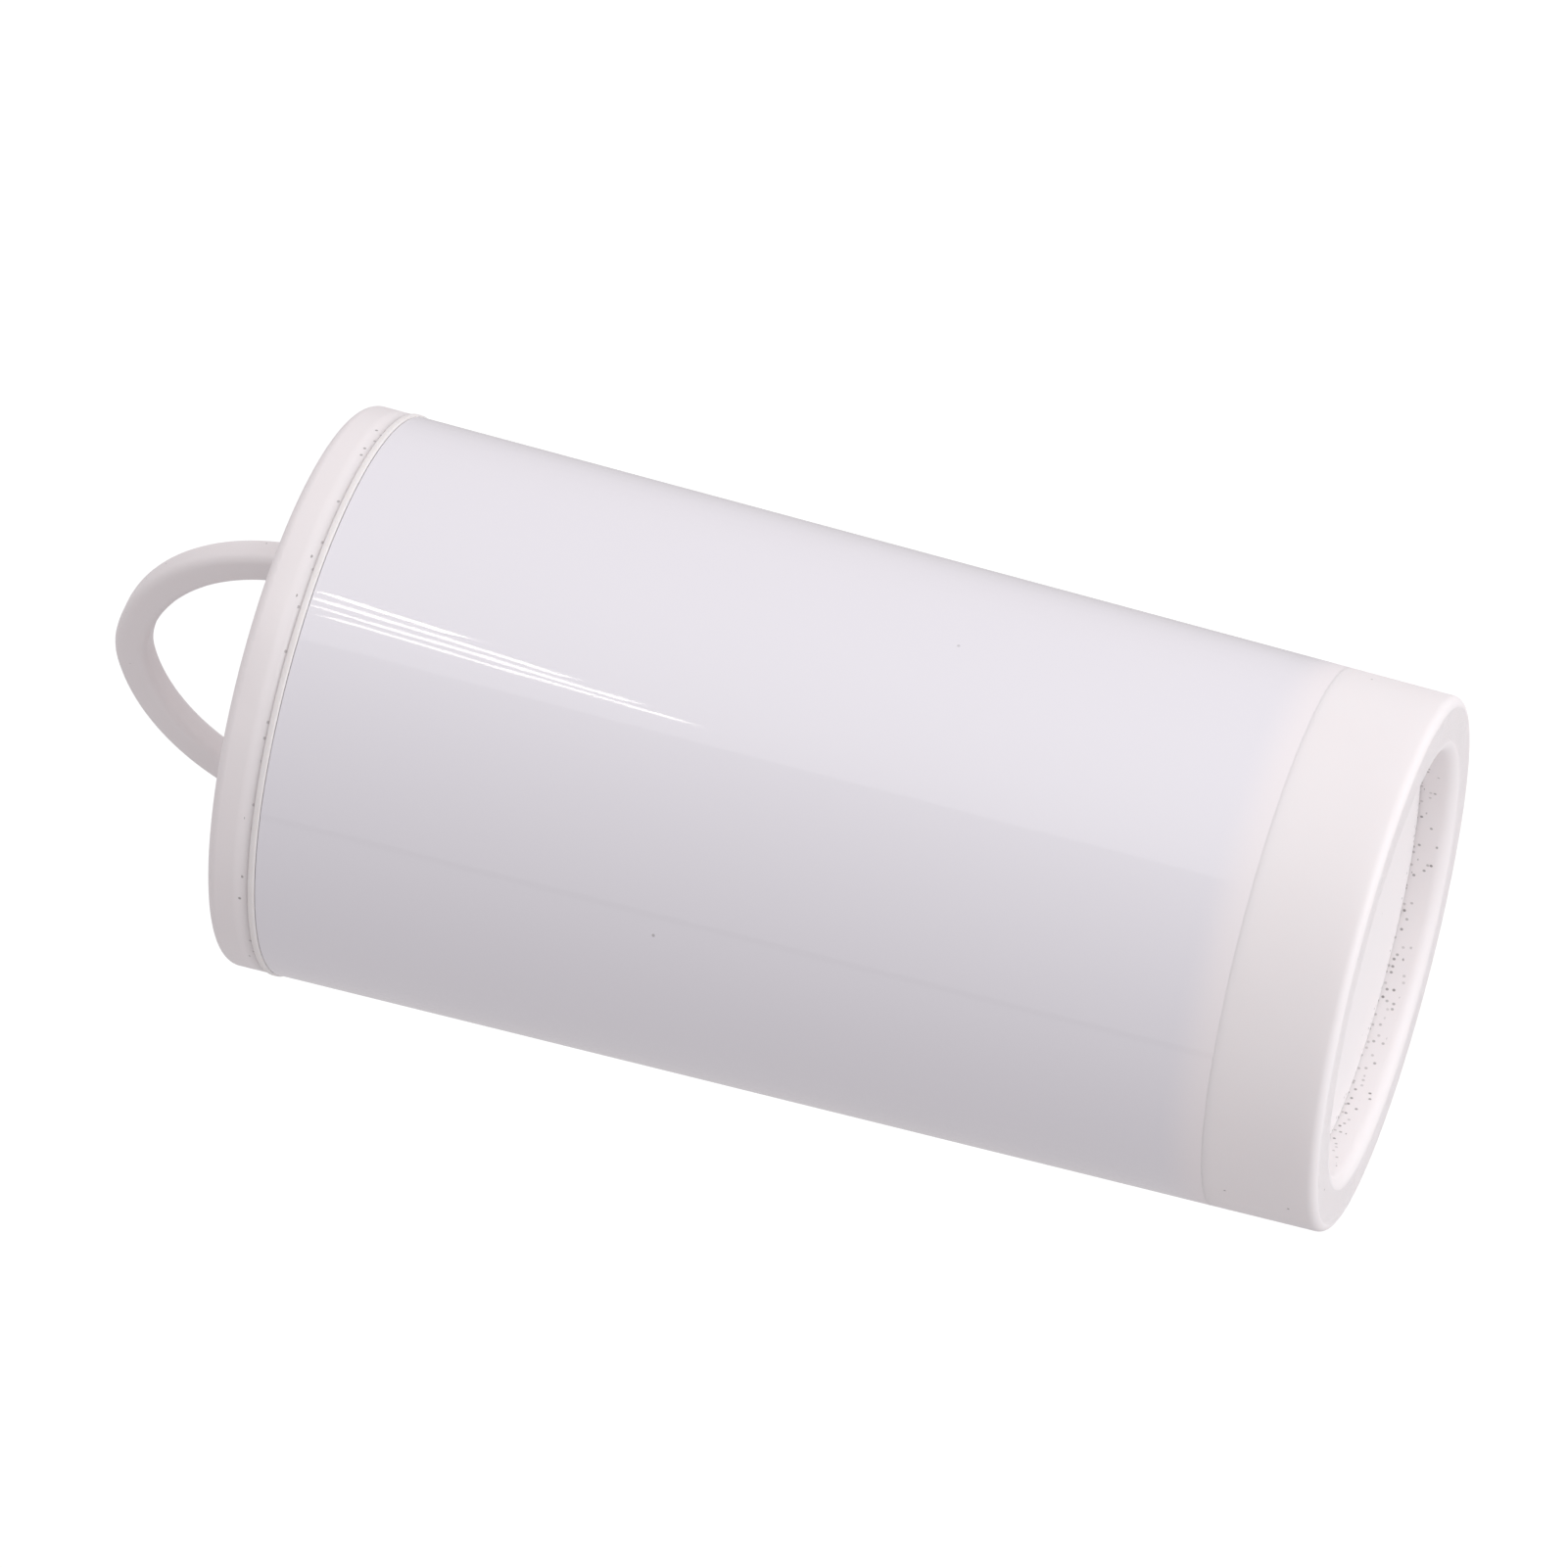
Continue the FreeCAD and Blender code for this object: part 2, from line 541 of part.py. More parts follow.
def make_loop_anchor_plate():
    """Round plate that traps the cross pins, notched for the legs and held by four screws."""
    body = new_body("loop_anchor_plate")
    face = new_sketch(body, "plate_face", "XY_Plane", PLATE_FOOT)
    circle(face, "0", "0", f"{SPIGOT_BORE} - plate_gap")
    plate = pad(body, face, "plate_thickness")
    softened(body, "Chamfer", plate, circles_at(plate, plate.Shape.BoundBox.ZMin), "plate_edge")

    notch = new_sketch(body, "leg_notch", "XY_Plane", BOSS_FOOT)
    outline(notch, [
        (f"{LEG_INSIDE} - plate_gap", "-(loop_depth / 2 + plate_gap)"),
        (SPIGOT_RADIUS, "-(loop_depth / 2 + plate_gap)"),
        (SPIGOT_RADIUS, "loop_depth / 2 + plate_gap"),
        (f"{LEG_INSIDE} - plate_gap", "loop_depth / 2 + plate_gap")])
    ring_pattern(body, [pocket(body, notch, "plate_thickness + plate_gap")], 2)
    hole = new_sketch(body, "plate_hole", "XY_Plane", BOSS_FOOT)
    circle(hole, SCREW_OFFSET, SCREW_OFFSET, "screw_radius + screw_gap")
    ring_pattern(body, [pocket(body, hole, "plate_thickness + plate_gap")], 4)
    return body


def make_plate_screws():
    """Four pan-head screws with a cross slot, driven up into the cap's bosses."""
    screws = []
    for number, (across, along) in enumerate([("", ""), ("-", ""), ("-", "-"), ("", "-")], start=1):
        at_x = f"{across}{SCREW_OFFSET}"
        at_y = f"{along}{SCREW_OFFSET}"
        shank = placed("Cylinder", f"shank_{number}", {
            "Radius": "screw_radius", "Height": f"{SEAM} + screw_bite - {PLATE_FOOT}"},
            at_x, at_y, PLATE_FOOT)
        head = placed("Cylinder", f"head_{number}", {"Radius": "head_radius", "Height": "head_height"},
                      at_x, at_y, HEAD_FOOT)
        slots = []
        for length, width in (("head_radius", "drive_width"), ("drive_width", "head_radius")):
            slots.append(placed("Box", f"slot_{number}_{length}", {
                "Length": length, "Width": width, "Height": "2 * drive_depth"},
                f"{at_x} - {length} / 2", f"{at_y} - {width} / 2", f"{HEAD_FOOT} - drive_depth"))
        solid = doc.addObject("Part::MultiFuse", f"screw_solid_{number}")
        solid.Shapes = [shank, head]
        cross = doc.addObject("Part::MultiFuse", f"screw_drive_{number}")
        cross.Shapes = slots
        screw = doc.addObject("Part::Cut", f"screw_{number}")
        screw.Base = solid
        screw.Tool = cross
        screws.append(screw)
    group = doc.addObject("Part::Compound", "plate_screws")
    group.Links = screws
    return group


nodes = [
    make_barrel(), make_film_sleeve(), make_base_plug(), make_base_seal(),
    make_float_core(), make_ballast_slug(), make_core_pad(),
    make_cap_gasket(), make_screw_cap(), make_throw_loop(),
    make_loop_pins(), make_loop_anchor_plate(), make_plate_screws(),
]
doc.recompute()

for item in doc.Objects:
    assert not {"Invalid", "Error"} & set(item.State), f"{item.Label} failed: {item.State}"
for node in nodes:
    assert not node.Shape.isNull() and node.Shape.isValid(), f"{node.Label} has no valid shape"

os.makedirs("parts", exist_ok=True)
for node in nodes:
    node.Shape.exportStep(f"parts/{node.Label}.step")
    print(f"{node.Label}: {len(node.Shape.Solids)} solid(s), {node.Shape.Volume:.0f} mm3")
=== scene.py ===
# %% [markdown]
# # A training bumper in a white studio
#
# A training bumper is a small dummy that a dog fetches. This one is a stubby tapered barrel of
# white plastic with a glossy shrunk film round it, a screw cap with an arched throw loop, and a
# shallow recess in its base. The CAD model gives every size. This file gives each surface its
# finish, and sets the light and the camera.

# %% Load the frame
import math

import bmesh
import bpy
import numpy as np
from mathutils import Matrix, Vector


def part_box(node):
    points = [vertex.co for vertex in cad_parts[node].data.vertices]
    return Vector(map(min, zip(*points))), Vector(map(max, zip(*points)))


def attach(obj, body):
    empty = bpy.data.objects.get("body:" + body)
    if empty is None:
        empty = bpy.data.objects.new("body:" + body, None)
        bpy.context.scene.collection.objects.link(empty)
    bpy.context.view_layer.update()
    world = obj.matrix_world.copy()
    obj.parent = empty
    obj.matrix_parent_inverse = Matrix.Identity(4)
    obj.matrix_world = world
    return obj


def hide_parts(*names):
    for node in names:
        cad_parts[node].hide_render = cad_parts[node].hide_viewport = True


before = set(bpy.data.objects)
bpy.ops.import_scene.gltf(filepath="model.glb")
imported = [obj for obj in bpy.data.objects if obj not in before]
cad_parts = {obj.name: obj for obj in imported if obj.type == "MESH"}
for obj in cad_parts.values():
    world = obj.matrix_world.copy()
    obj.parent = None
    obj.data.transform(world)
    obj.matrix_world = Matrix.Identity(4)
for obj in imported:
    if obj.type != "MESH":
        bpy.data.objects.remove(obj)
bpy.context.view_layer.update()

# %% [markdown]
# ## Sizes
#
# Everything that can be measured comes from the CAD nodes: their boxes give the heights of the
# seams and the radii of the parts. Only what a box can't show, such as the radius of an edge,
# is a named value here. All lengths are in metres, so a millimetre has a name of its own.

# %% Heights and radii from the frame
MM = 0.001


def reach(node):
    """Largest radius of a round node, as half the width of its box."""
    low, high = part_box(node)
    return (high[0] - low[0]) / 2


cap_low, cap_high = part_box("screw_cap")
gasket_low, gasket_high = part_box("cap_gasket")
film_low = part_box("film_sleeve")[0]
loop_low, loop_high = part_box("throw_loop")
plug_low, plug_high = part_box("base_plug")
barrel_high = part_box("barrel")[1]

body_length = cap_high[2]
cap_radius = reach("screw_cap")
recess_depth = plug_low[2]
plug_radius = reach("base_plug")
print("body is", round(body_length / MM, 2), "mm long")
print("cap is", round(2 * cap_radius / MM, 2), "mm across")

# %% Sizes that a box doesn't show
BASE_RADIUS = 23.5 * MM  # outside of the base rim
RECESS_RADIUS = 18.6 * MM  # wall of the recess in the base
BORE_RADIUS = 17.4 * MM  # inside of the barrel
NECK_RADIUS = 21.3 * MM  # inside of the threaded mouth
NECK_DEPTH = 13.4 * MM  # from the mouth's top down to its shoulder
SPIGOT_RADIUS = 19.3 * MM  # the part of the cap that goes into the mouth
PLUG_SEAT = 5.7 * MM  # height of the ledge that the plug stops at
FILM_THICKNESS = 0.25 * MM
THREAD_PITCH = 4.0 * MM
THREAD_TURNS = 1.2
LOOP_BAR = 3.0 * MM  # the bar's width in the plane of the loop
LOOP_SIDE = 18.6 * MM  # outer radius of the side arcs
LOOP_APEX = 10.0 * MM  # outer radius of the top arc
LOOP_BEND = 0.15 * MM  # from the cap's face up to where the legs begin to curve in


def skin(height):
    """Outside radius of the body: a straight taper from the base rim to the cap's face."""
    return BASE_RADIUS + (cap_radius - BASE_RADIUS) * height / body_length


# %% [markdown]
# ## The camera
#
# The bumper is shown lying on its side, so in its own upright frame the camera looks slightly up
# from under the base, and is rolled until the body points up to the left. Three angles say how
# it is seen: how far the body's axis is turned in the view, how far its cap end leans away, and
# how far the loop is turned round the body. A long lens from a metre away keeps the sides of the
# body almost parallel.

# %% Place the camera
AXIS_ROLL = math.radians(14.46)
AXIS_LEAN = math.radians(10.96)
LOOP_TURN = math.radians(50.8)
CAMERA_DISTANCE = 1.0
BODY_OFFSET = (5.15 * MM, -3.40 * MM)
SENSOR_WIDTH = 36.0
LENS = 267.7

axis_in_view = Vector((-math.cos(AXIS_LEAN) * math.cos(AXIS_ROLL),
                       math.cos(AXIS_LEAN) * math.sin(AXIS_ROLL),
                       -math.sin(AXIS_LEAN)))
across_in_view = axis_in_view.cross(Vector((0, 0, 1))).normalized()
back_in_view = axis_in_view.cross(across_in_view)
loop_in_view = math.cos(LOOP_TURN) * across_in_view - math.sin(LOOP_TURN) * back_in_view
side_in_view = axis_in_view.cross(loop_in_view)
view_from_body = Matrix((loop_in_view, side_in_view, axis_in_view)).transposed()
body_from_view = view_from_body.transposed()

body_middle = Vector((0, 0, body_length / 2))
camera_at = body_middle - body_from_view @ Vector((*BODY_OFFSET, -CAMERA_DISTANCE))

camera_data = bpy.data.cameras.new("studio_camera")
camera_data.sensor_width = SENSOR_WIDTH
camera_data.lens = LENS
camera_data.clip_start = 0.05
camera_data.clip_end = 50
camera = bpy.data.objects.new("studio_camera", camera_data)
camera.matrix_world = Matrix.Translation(camera_at) @ body_from_view.to_4x4()
bpy.context.scene.collection.objects.link(camera)
bpy.context.scene.camera = camera
print("camera at", [round(v, 3) for v in camera_at])

# %% [markdown]
# ## Turned shapes
#
# Nearly every part of the bumper is round about one axis, so its surface needs two parameters:
# one along the outline of the section, and one round the axis. The outline is a short list of
# corners, each with the radius it was moulded with. A fine arc goes into each corner, and a
# point on either side holds the flat faces flat, so that smooth shading doesn't roll over them.

# %% A rounded outline
HOLD = 0.10 * MM


def rounded_outline(corners, arc_steps=6):
    """Closed outline through (radius, height, rounding) corners.

    Where the rounding is r and the two edges turn through an angle a, the arc touches each edge
    at r * tan(a / 2) from the corner. Its points are the corner's arc centre plus r times the
    unit vectors that turn evenly from one edge's normal to the other's.
    """
    points = np.array([corner[:2] for corner in corners])
    rounding = np.array([corner[2] for corner in corners])
    pieces = []
    previous, following = np.roll(points, 1, 0), np.roll(points, -1, 0)
    for here, before, after, r in zip(points, previous, following, rounding):
        come = (here - before) / np.linalg.norm(here - before)
        go = (after - here) / np.linalg.norm(after - here)
        if r <= 0:
            pieces.append(here[None])
            continue
        turn = math.atan2(come[0] * go[1] - come[1] * go[0], come @ go)
        setback = r * math.tan(abs(turn) / 2)
        side = math.copysign(1.0, turn)
        inward = side * np.array([-come[1], come[0]])
        centre = here - come * setback + inward * r
        swing = np.linspace(0, turn, arc_steps + 1)
        spoke = -inward
        arc = centre + r * np.stack([spoke[0] * np.cos(swing) - spoke[1] * np.sin(swing),
                                     spoke[0] * np.sin(swing) + spoke[1] * np.cos(swing)], 1)
        lead = min(HOLD, 0.25 * np.linalg.norm(here - before))
        tail = min(HOLD, 0.25 * np.linalg.norm(after - here))
        pieces += [(arc[0] - come * lead)[None], arc, (arc[-1] + go * tail)[None]]
    return np.concatenate(pieces)


# %% [markdown]
# A grid of points becomes a mesh in one step: the points are written as a flat array, and so are
# the four corner numbers of each square. The same function closes the grid both ways, because
# the section's outline is closed and so is the turn round the axis.

# %% From a grid of points to a mesh
SHARP_ANGLE = math.radians(35)


def mesh_from_arrays(name, points, quads):
    """Smooth mesh object from an (n, 3) array of points and an (m, 4) array of corner numbers."""
    mesh = bpy.data.meshes.new(name)
    mesh.vertices.add(len(points))
    mesh.vertices.foreach_set("co", np.ascontiguousarray(points, dtype=np.float32).ravel())
    mesh.loops.add(quads.size)
    mesh.loops.foreach_set("vertex_index", np.ascontiguousarray(quads, dtype=np.int32).ravel())
    mesh.polygons.add(len(quads))
    mesh.polygons.foreach_set("loop_start", np.arange(0, quads.size, 4, dtype=np.int32))
    mesh.polygons.foreach_set("use_smooth", np.ones(len(quads), dtype=bool))
    mesh.update(calc_edges=True)
    mesh.validate()
    mesh.set_sharp_from_angle(angle=SHARP_ANGLE)
    piece = bpy.data.objects.new(name, mesh)
    bpy.context.scene.collection.objects.link(piece)
    print(name, len(mesh.polygons), "faces")
    return piece


def closed_grid_quads(rows, columns):
    """Corner numbers of a grid that joins up in both directions, facing outwards."""
    row, column = np.meshgrid(np.arange(rows), np.arange(columns), indexing="ij")
    next_row = (row + 1) % rows
    next_column = (column + 1) % columns
    corners = [row * columns + column, row * columns + next_column,
               next_row * columns + next_column, next_row * columns + column]
    return np.stack(corners, -1).reshape(-1, 4)


def open_grid_quads(rows, columns):
    """The same for a grid that joins up across its columns but has a first and a last row."""
    return closed_grid_quads(rows, columns)[:(rows - 1) * columns]


def merge_points(mesh, distance):
    """Join the points of a mesh that are closer than this."""
    edit = bmesh.new()
    edit.from_mesh(mesh)
    bmesh.ops.remove_doubles(edit, verts=edit.verts, dist=distance)
    edit.to_mesh(mesh)
    edit.free()


def closed_strip(name, points, rows, columns):
    """Tube from a grid that is closed round its section, with both of its ends filled."""
    piece = mesh_from_arrays(name, points, open_grid_quads(rows, columns))
    edit = bmesh.new()
    edit.from_mesh(piece.data)
    bmesh.ops.holes_fill(edit, edges=[edge for edge in edit.edges if edge.is_boundary], sides=0)
    bmesh.ops.recalc_face_normals(edit, faces=edit.faces)
    edit.to_mesh(piece.data)
    edit.free()
    piece.data.set_sharp_from_angle(angle=SHARP_ANGLE)
    return piece


def turned_piece(name, outline, around=256, swell=None):
    """Solid ring turned about Z: (r cos a, r sin a, z) for each outline point (r, z) and angle a.

    swell(angle, radius, height) may add to the radius, for a surface that isn't quite round.
    """
    angle = np.linspace(0, math.tau, around, endpoint=False)[None, :]
    radius = np.repeat(outline[:, :1], around, 1)
    height = np.repeat(outline[:, 1:], around, 1)
    if swell:
        radius = radius + swell(angle, radius, height)
    points = np.stack([radius * np.cos(angle), radius * np.sin(angle), height], -1).reshape(-1, 3)
    return mesh_from_arrays(name, points, closed_grid_quads(len(outline), around))


# %% [markdown]
# ## Nodes and colours
#
# Each material is written out as its own small graph. One helper adds a node, sets what is
# fixed and links what comes from other nodes, and a few short ones name what is done again and
# again: a sum, a ramp, a blend, a cloudy pattern and a relief. Colours are chosen as they look
# on a screen and turned into the linear values that the renderer adds up.

# %% Helpers for materials
def linear(colour):
    """Linear RGBA from an sRGB hex colour.

    Each channel v becomes v / 12.92 up to 0.04045, and ((v + 0.055) / 1.055) ^ 2.4 above it.
    """
    channels = np.array([int(colour[k:k + 2], 16) for k in (1, 3, 5)]) / 255
    straight = channels / 12.92
    curved = ((channels + 0.055) / 1.055) ** 2.4
    return (*np.where(channels <= 0.04045, straight, curved), 1.0)


def fill(tree, node, inputs):
    """Set a node's inputs by name: a socket is linked, and anything else is a value."""
    for name, value in inputs.items():
        if isinstance(value, bpy.types.NodeSocket):
            tree.links.new(value, node.inputs[name])
        else:
            node.inputs[name].default_value = value


def add(tree, kind, inputs=None, **settings):
    """Add a node with these properties and inputs."""
    node = tree.nodes.new(kind)
    for name, value in settings.items():
        setattr(node, name, value)
    fill(tree, node, inputs or {})
    return node


def per_millimetre(size):
    """Scale of a texture whose features are this many millimetres across."""
    return 1 / (size * MM)


def combine(tree, operation, *values):
    """One or two numbers put through a maths node."""
    return add(tree, "ShaderNodeMath", dict(enumerate(values)), operation=operation).outputs[0]


def ramp(tree, value, start, end, low=0.0, high=1.0, smooth=False):
    """Number that goes from low to high while the value goes from start to end."""
    ends = {"Value": value, "From Min": start, "From Max": end, "To Min": low, "To Max": high}
    curve = "SMOOTHSTEP" if smooth else "LINEAR"
    return add(tree, "ShaderNodeMapRange", ends, interpolation_type=curve).outputs["Result"]


def blend(tree, factor, start, end):
    """Colour that goes from start to end while the factor goes from 0 to 1."""
    parts = {"Factor": factor, "A": start, "B": end}
    return add(tree, "ShaderNodeMix", parts, data_type="RGBA").outputs["Result"]


def clouds(tree, place, size, detail=2.0, roughness=0.5):
    """Cloudy pattern with features this many millimetres across."""
    parts = {"Vector": place, "Scale": per_millimetre(size), "Detail": detail,
             "Roughness": roughness}
    return add(tree, "ShaderNodeTexNoise", parts).outputs["Fac"]


def relief(tree, height, strength, depth):
    """Surface direction after a pattern has raised it by up to this many millimetres."""
    parts = {"Height": height, "Strength": strength, "Distance": depth * MM}
    return add(tree, "ShaderNodeBump", parts).outputs["Normal"]


def new_material(name):
    """Empty material: its node tree, its shader and the surface's own coordinates."""
    material = bpy.data.materials.new(name)
    material.use_nodes = True
    tree = material.node_tree
    tree.nodes.clear()
    shader = add(tree, "ShaderNodeBsdfPrincipled")
    add(tree, "ShaderNodeOutputMaterial", {"Surface": shader.outputs["BSDF"]})
    place = add(tree, "ShaderNodeTexCoord").outputs["Object"]
    return material, tree, shader, place


def finish_with(piece, material):
    """Give the piece one material."""
    piece.data.materials.clear()
    piece.data.materials.append(material)


# %% [markdown]
# ## Specks
#
# White plastic that has been handled and wiped keeps a few dark specks. They are dots on a
# random pattern of cells, which has to lie flat: a body that is round about one axis is unrolled
# first, so that a dot stays a dot on its side, on its end and round its corners.

# %% Helpers for specks
UNROLLED_RADIUS = 22 * MM
SPECK_EDGE = 0.6
SPECK_STRENGTHS = (0.25, 0.9)
SPECK_COLOUR = "#8A8684"


def unrolled(tree, place):
    """Flat coordinates of a round piece, then its radius and its height.

    Across is the angle times a typical radius. Along is the height less the radius, because
    height varies down a side and radius varies over an end, so their difference serves both.
    """
    split = add(tree, "ShaderNodeSeparateXYZ", {"Vector": place})
    x, y, z = (split.outputs[axis] for axis in "XYZ")
    across = combine(tree, "MULTIPLY", combine(tree, "ARCTAN2", y, x), UNROLLED_RADIUS)
    level = add(tree, "ShaderNodeCombineXYZ", {"X": x, "Y": y}).outputs[0]
    radius = add(tree, "ShaderNodeVectorMath", {0: level}, operation="LENGTH").outputs["Value"]
    along = combine(tree, "SUBTRACT", z, radius)
    flat = add(tree, "ShaderNodeCombineXYZ", {"X": across, "Y": along}).outputs[0]
    return flat, radius, z


def near(tree, value, middle, distance):
    """1 where a value is at the middle, falling evenly to 0 at this distance from it."""
    away = combine(tree, "ABSOLUTE", combine(tree, "SUBTRACT", value, middle))
    return ramp(tree, away, 0.0, distance, 1.0, 0.0)


def add_specks(tree, flat, clean, spacing, size, share, where=None):
    """Colour with a few dark specks: dots at the centres of some of a Voronoi pattern's cells.

    A cell is about `spacing` mm across. A dot is where the distance to the cell's own point is
    under `size` mm, and only where the cell's random number is under `share`. `where` thins them.
    """
    cells = add(tree, "ShaderNodeTexVoronoi",
                {"Vector": flat, "Scale": per_millimetre(spacing)}, voronoi_dimensions="2D")
    reach_in_cell = size / spacing
    dot = ramp(tree, cells.outputs["Distance"], SPECK_EDGE * reach_in_cell, reach_in_cell,
               1.0, 0.0)
    chance = add(tree, "ShaderNodeSeparateColor", {"Color": cells.outputs["Color"]})
    limit = share if where is None else combine(tree, "MULTIPLY", where, share)
    chosen = combine(tree, "LESS_THAN", chance.outputs["Red"], limit)
    depth = ramp(tree, chance.outputs["Green"], 0.0, 1.0, *SPECK_STRENGTHS)
    strength = combine(tree, "MULTIPLY", combine(tree, "MULTIPLY", dot, chosen), depth)
    return blend(tree, strength, clean, linear(SPECK_COLOUR))


# %% [markdown]
# ## Warm white moulded plastic
#
# The barrel and its plug are moulded polyethylene: a soft, slightly waxy white. Light goes a
# little way in and comes out again, which makes the rim of the base glow, and the skin has the
# faint ripple of a mould. There are a few specks all over, and many where the recess's wall
# meets its floor and a cloth doesn't reach.

# %% Moulded polyethylene
WAXY_DEPTHS = (1.0, 0.93, 0.90)

polyethylene, tree, shader, place = new_material("moulded_polyethylene")
tone = blend(tree, clouds(tree, place, 14), linear("#F1EEEE"), linear("#EDE9E9"))
flat, radius, height = unrolled(tree, place)
corner = combine(tree, "MULTIPLY", near(tree, radius, RECESS_RADIUS, 1.6 * MM),
                 near(tree, height, recess_depth, 2.2 * MM))
tone = add_specks(tree, flat, tone, spacing=7.0, size=0.13, share=0.12)
tone = add_specks(tree, flat, tone, spacing=0.75, size=0.17, share=0.85, where=corner)
fill(tree, shader, {
    "Base Color": tone,
    "Normal": relief(tree, clouds(tree, place, 1.6, detail=1.0), 0.25, 0.01),
    "Roughness": 0.55,
    "IOR": 1.51,
    "Subsurface Weight": 0.3,
    "Subsurface Radius": WAXY_DEPTHS,
    "Subsurface Scale": 1.5 * MM,
})
print("moulded polyethylene:", len(tree.nodes), "nodes")

# %% [markdown]
# ## Cool white shrunk film
#
# The sleeve is a thin white film, shrunk round the barrel with heat. It is cooler in colour than
# the plastic and much glossier. Shrinking leaves long shallow waves, which break a lamp's
# reflection into thin uneven lines along the body. Near its lower edge it clings so closely that
# its colour and gloss fade into the plastic's.

# %% Shrunk film
FILM_FADE = 4.0 * MM
WAVE_STRETCH = (1.0, 1.0, 0.16)

film, tree, shader, place = new_material("shrunk_film")
flat, radius, height = unrolled(tree, place)
edge = ramp(tree, height, film_low[2], film_low[2] + FILM_FADE, smooth=True)
tone = blend(tree, edge, linear("#EFEBEC"), linear("#E5E4E9"))
stretch = add(tree, "ShaderNodeMapping", {"Vector": place, "Scale": WAVE_STRETCH})
waves = clouds(tree, stretch.outputs["Vector"], 2.2, roughness=0.55)
fill(tree, shader, {
    "Base Color": add_specks(tree, flat, tone, spacing=14.0, size=0.17, share=0.25),
    "Roughness": 0.45,
    "IOR": 1.50,
    "Coat Weight": edge,
    "Coat Normal": relief(tree, waves, 0.3, 0.02),
    "Coat Roughness": 0.04,
    "Coat IOR": 1.5,
})
print("shrunk film:", len(tree.nodes), "nodes")

# %% [markdown]
# ## Glossy cap plastic
#
# The cap and the loop are one plastic, a warm white ABS from a polished mould: a shade greyer
# than the barrel, with soft broad reflections. Dirt gathers at the seam under the cap.

# %% Polished ABS
cap_abs, tree, shader, place = new_material("polished_abs")
tone = blend(tree, clouds(tree, place, 9), linear("#EEEAEA"), linear("#E9E5E5"))
flat, radius, height = unrolled(tree, place)
seam = near(tree, height, gasket_high[2], 0.9 * MM)
tone = add_specks(tree, flat, tone, spacing=6.0, size=0.14, share=0.15)
tone = add_specks(tree, flat, tone, spacing=1.1, size=0.16, share=0.55, where=seam)
fill(tree, shader, {
    "Base Color": tone,
    "Normal": relief(tree, clouds(tree, place, 2.5, detail=1.0), 0.25, 0.012),
    "Roughness": 0.30,
    "IOR": 1.52,
    "Subsurface Weight": 0.15,
    "Subsurface Radius": WAXY_DEPTHS,
    "Subsurface Scale": 1.0 * MM,
})
print("polished ABS:", len(tree.nodes), "nodes")

# %% [markdown]
# ## White silicone
#
# The gasket is pressed from silicone rubber, the softest-looking white here. Red light travels
# furthest through it, so its thin edge is a little warmer than the plastic on either side.

# %% Silicone for the gasket
silicone, tree, shader, place = new_material("white_silicone")
fill(tree, shader, {
    "Base Color": blend(tree, clouds(tree, place, 4), linear("#F1EEEC"), linear("#E9E5E2")),
    "Roughness": 0.35,
    "IOR": 1.41,
    "Subsurface Weight": 0.3,
    "Subsurface Radius": (1.0, 0.9, 0.8),
    "Subsurface Scale": 0.8 * MM,
})
print("white silicone:", len(tree.nodes), "nodes")

# %% [markdown]
# ## What is inside
#
# Seven parts sit out of sight, and keep their CAD shapes. Each still gets what it is made of, so
# that a cut or an open view reads true: black nitrile rubber for the seal, pale closed-cell foam
# for the float, a softer grey foam for its pad, bright turned steel for the slug, ground
# stainless steel for the pins, duller zinc plating on the screws, and grey glass-filled nylon for
# the anchor plate. In each, one pattern at the real grain's size varies the colour and the height
# together.

# %% Materials and fittings inside
CLOUDY, CELLS = "ShaderNodeTexNoise", "ShaderNodeTexVoronoi"


def grained(name, light, dark, grain, depth, roughness, metal=0.0, pattern=CLOUDY):
    """Material whose colour and height follow one pattern, with a grain and depth in mm."""
    material, tree, shader, place = new_material(name)
    mottle = add(tree, pattern, {"Vector": place, "Scale": per_millimetre(grain)}).outputs[0]
    fill(tree, shader, {
        "Base Color": blend(tree, mottle, linear(dark), linear(light)),
        "Normal": relief(tree, mottle, 0.5, depth),
        "Roughness": roughness,
        "Metallic": metal,
    })
    return material


inside = {
    "base_seal": grained("nitrile_rubber", "#2E2C2B", "#211F1F", 0.6, 0.01, 0.6),
    "float_core": grained("closed_cell_foam", "#F0EAD8", "#D8CFB6", 1.1, 0.15, 0.9,
                          pattern=CELLS),
    "core_pad": grained("soft_grey_foam", "#6A6C70", "#4C4E52", 0.6, 0.12, 0.95,
                        pattern=CELLS),
    "ballast_slug": grained("turned_steel", "#C8C9CB", "#AEB0B3", 0.9, 0.004, 0.3, metal=1.0),
    "loop_pins": grained("ground_stainless_steel", "#D4D2CE", "#BDBBB7", 0.4, 0.003, 0.28,
                         metal=1.0),
    "plate_screws": grained("zinc_plated_steel", "#C2C3C0", "#A6A7A2", 0.7, 0.004, 0.42,
                            metal=1.0),
    "loop_anchor_plate": grained("glass_filled_nylon", "#63666A", "#54575B", 0.5, 0.01, 0.5),
}
for node, material in inside.items():
    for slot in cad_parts[node].material_slots:
        slot.material = material
    print(node, "is", material.name.replace("_", " "))

# %% [markdown]
# ## The barrel
#
# The barrel is drawn as one closed section: up the outside, in over the neck, down the threaded
# mouth and the bore, and back out under the plug's ledge. The film lies in a shallow panel, so
# the plastic steps in by the film's thickness where the sleeve begins.

# %% Barrel
FILM_PLAY = 0.03 * MM

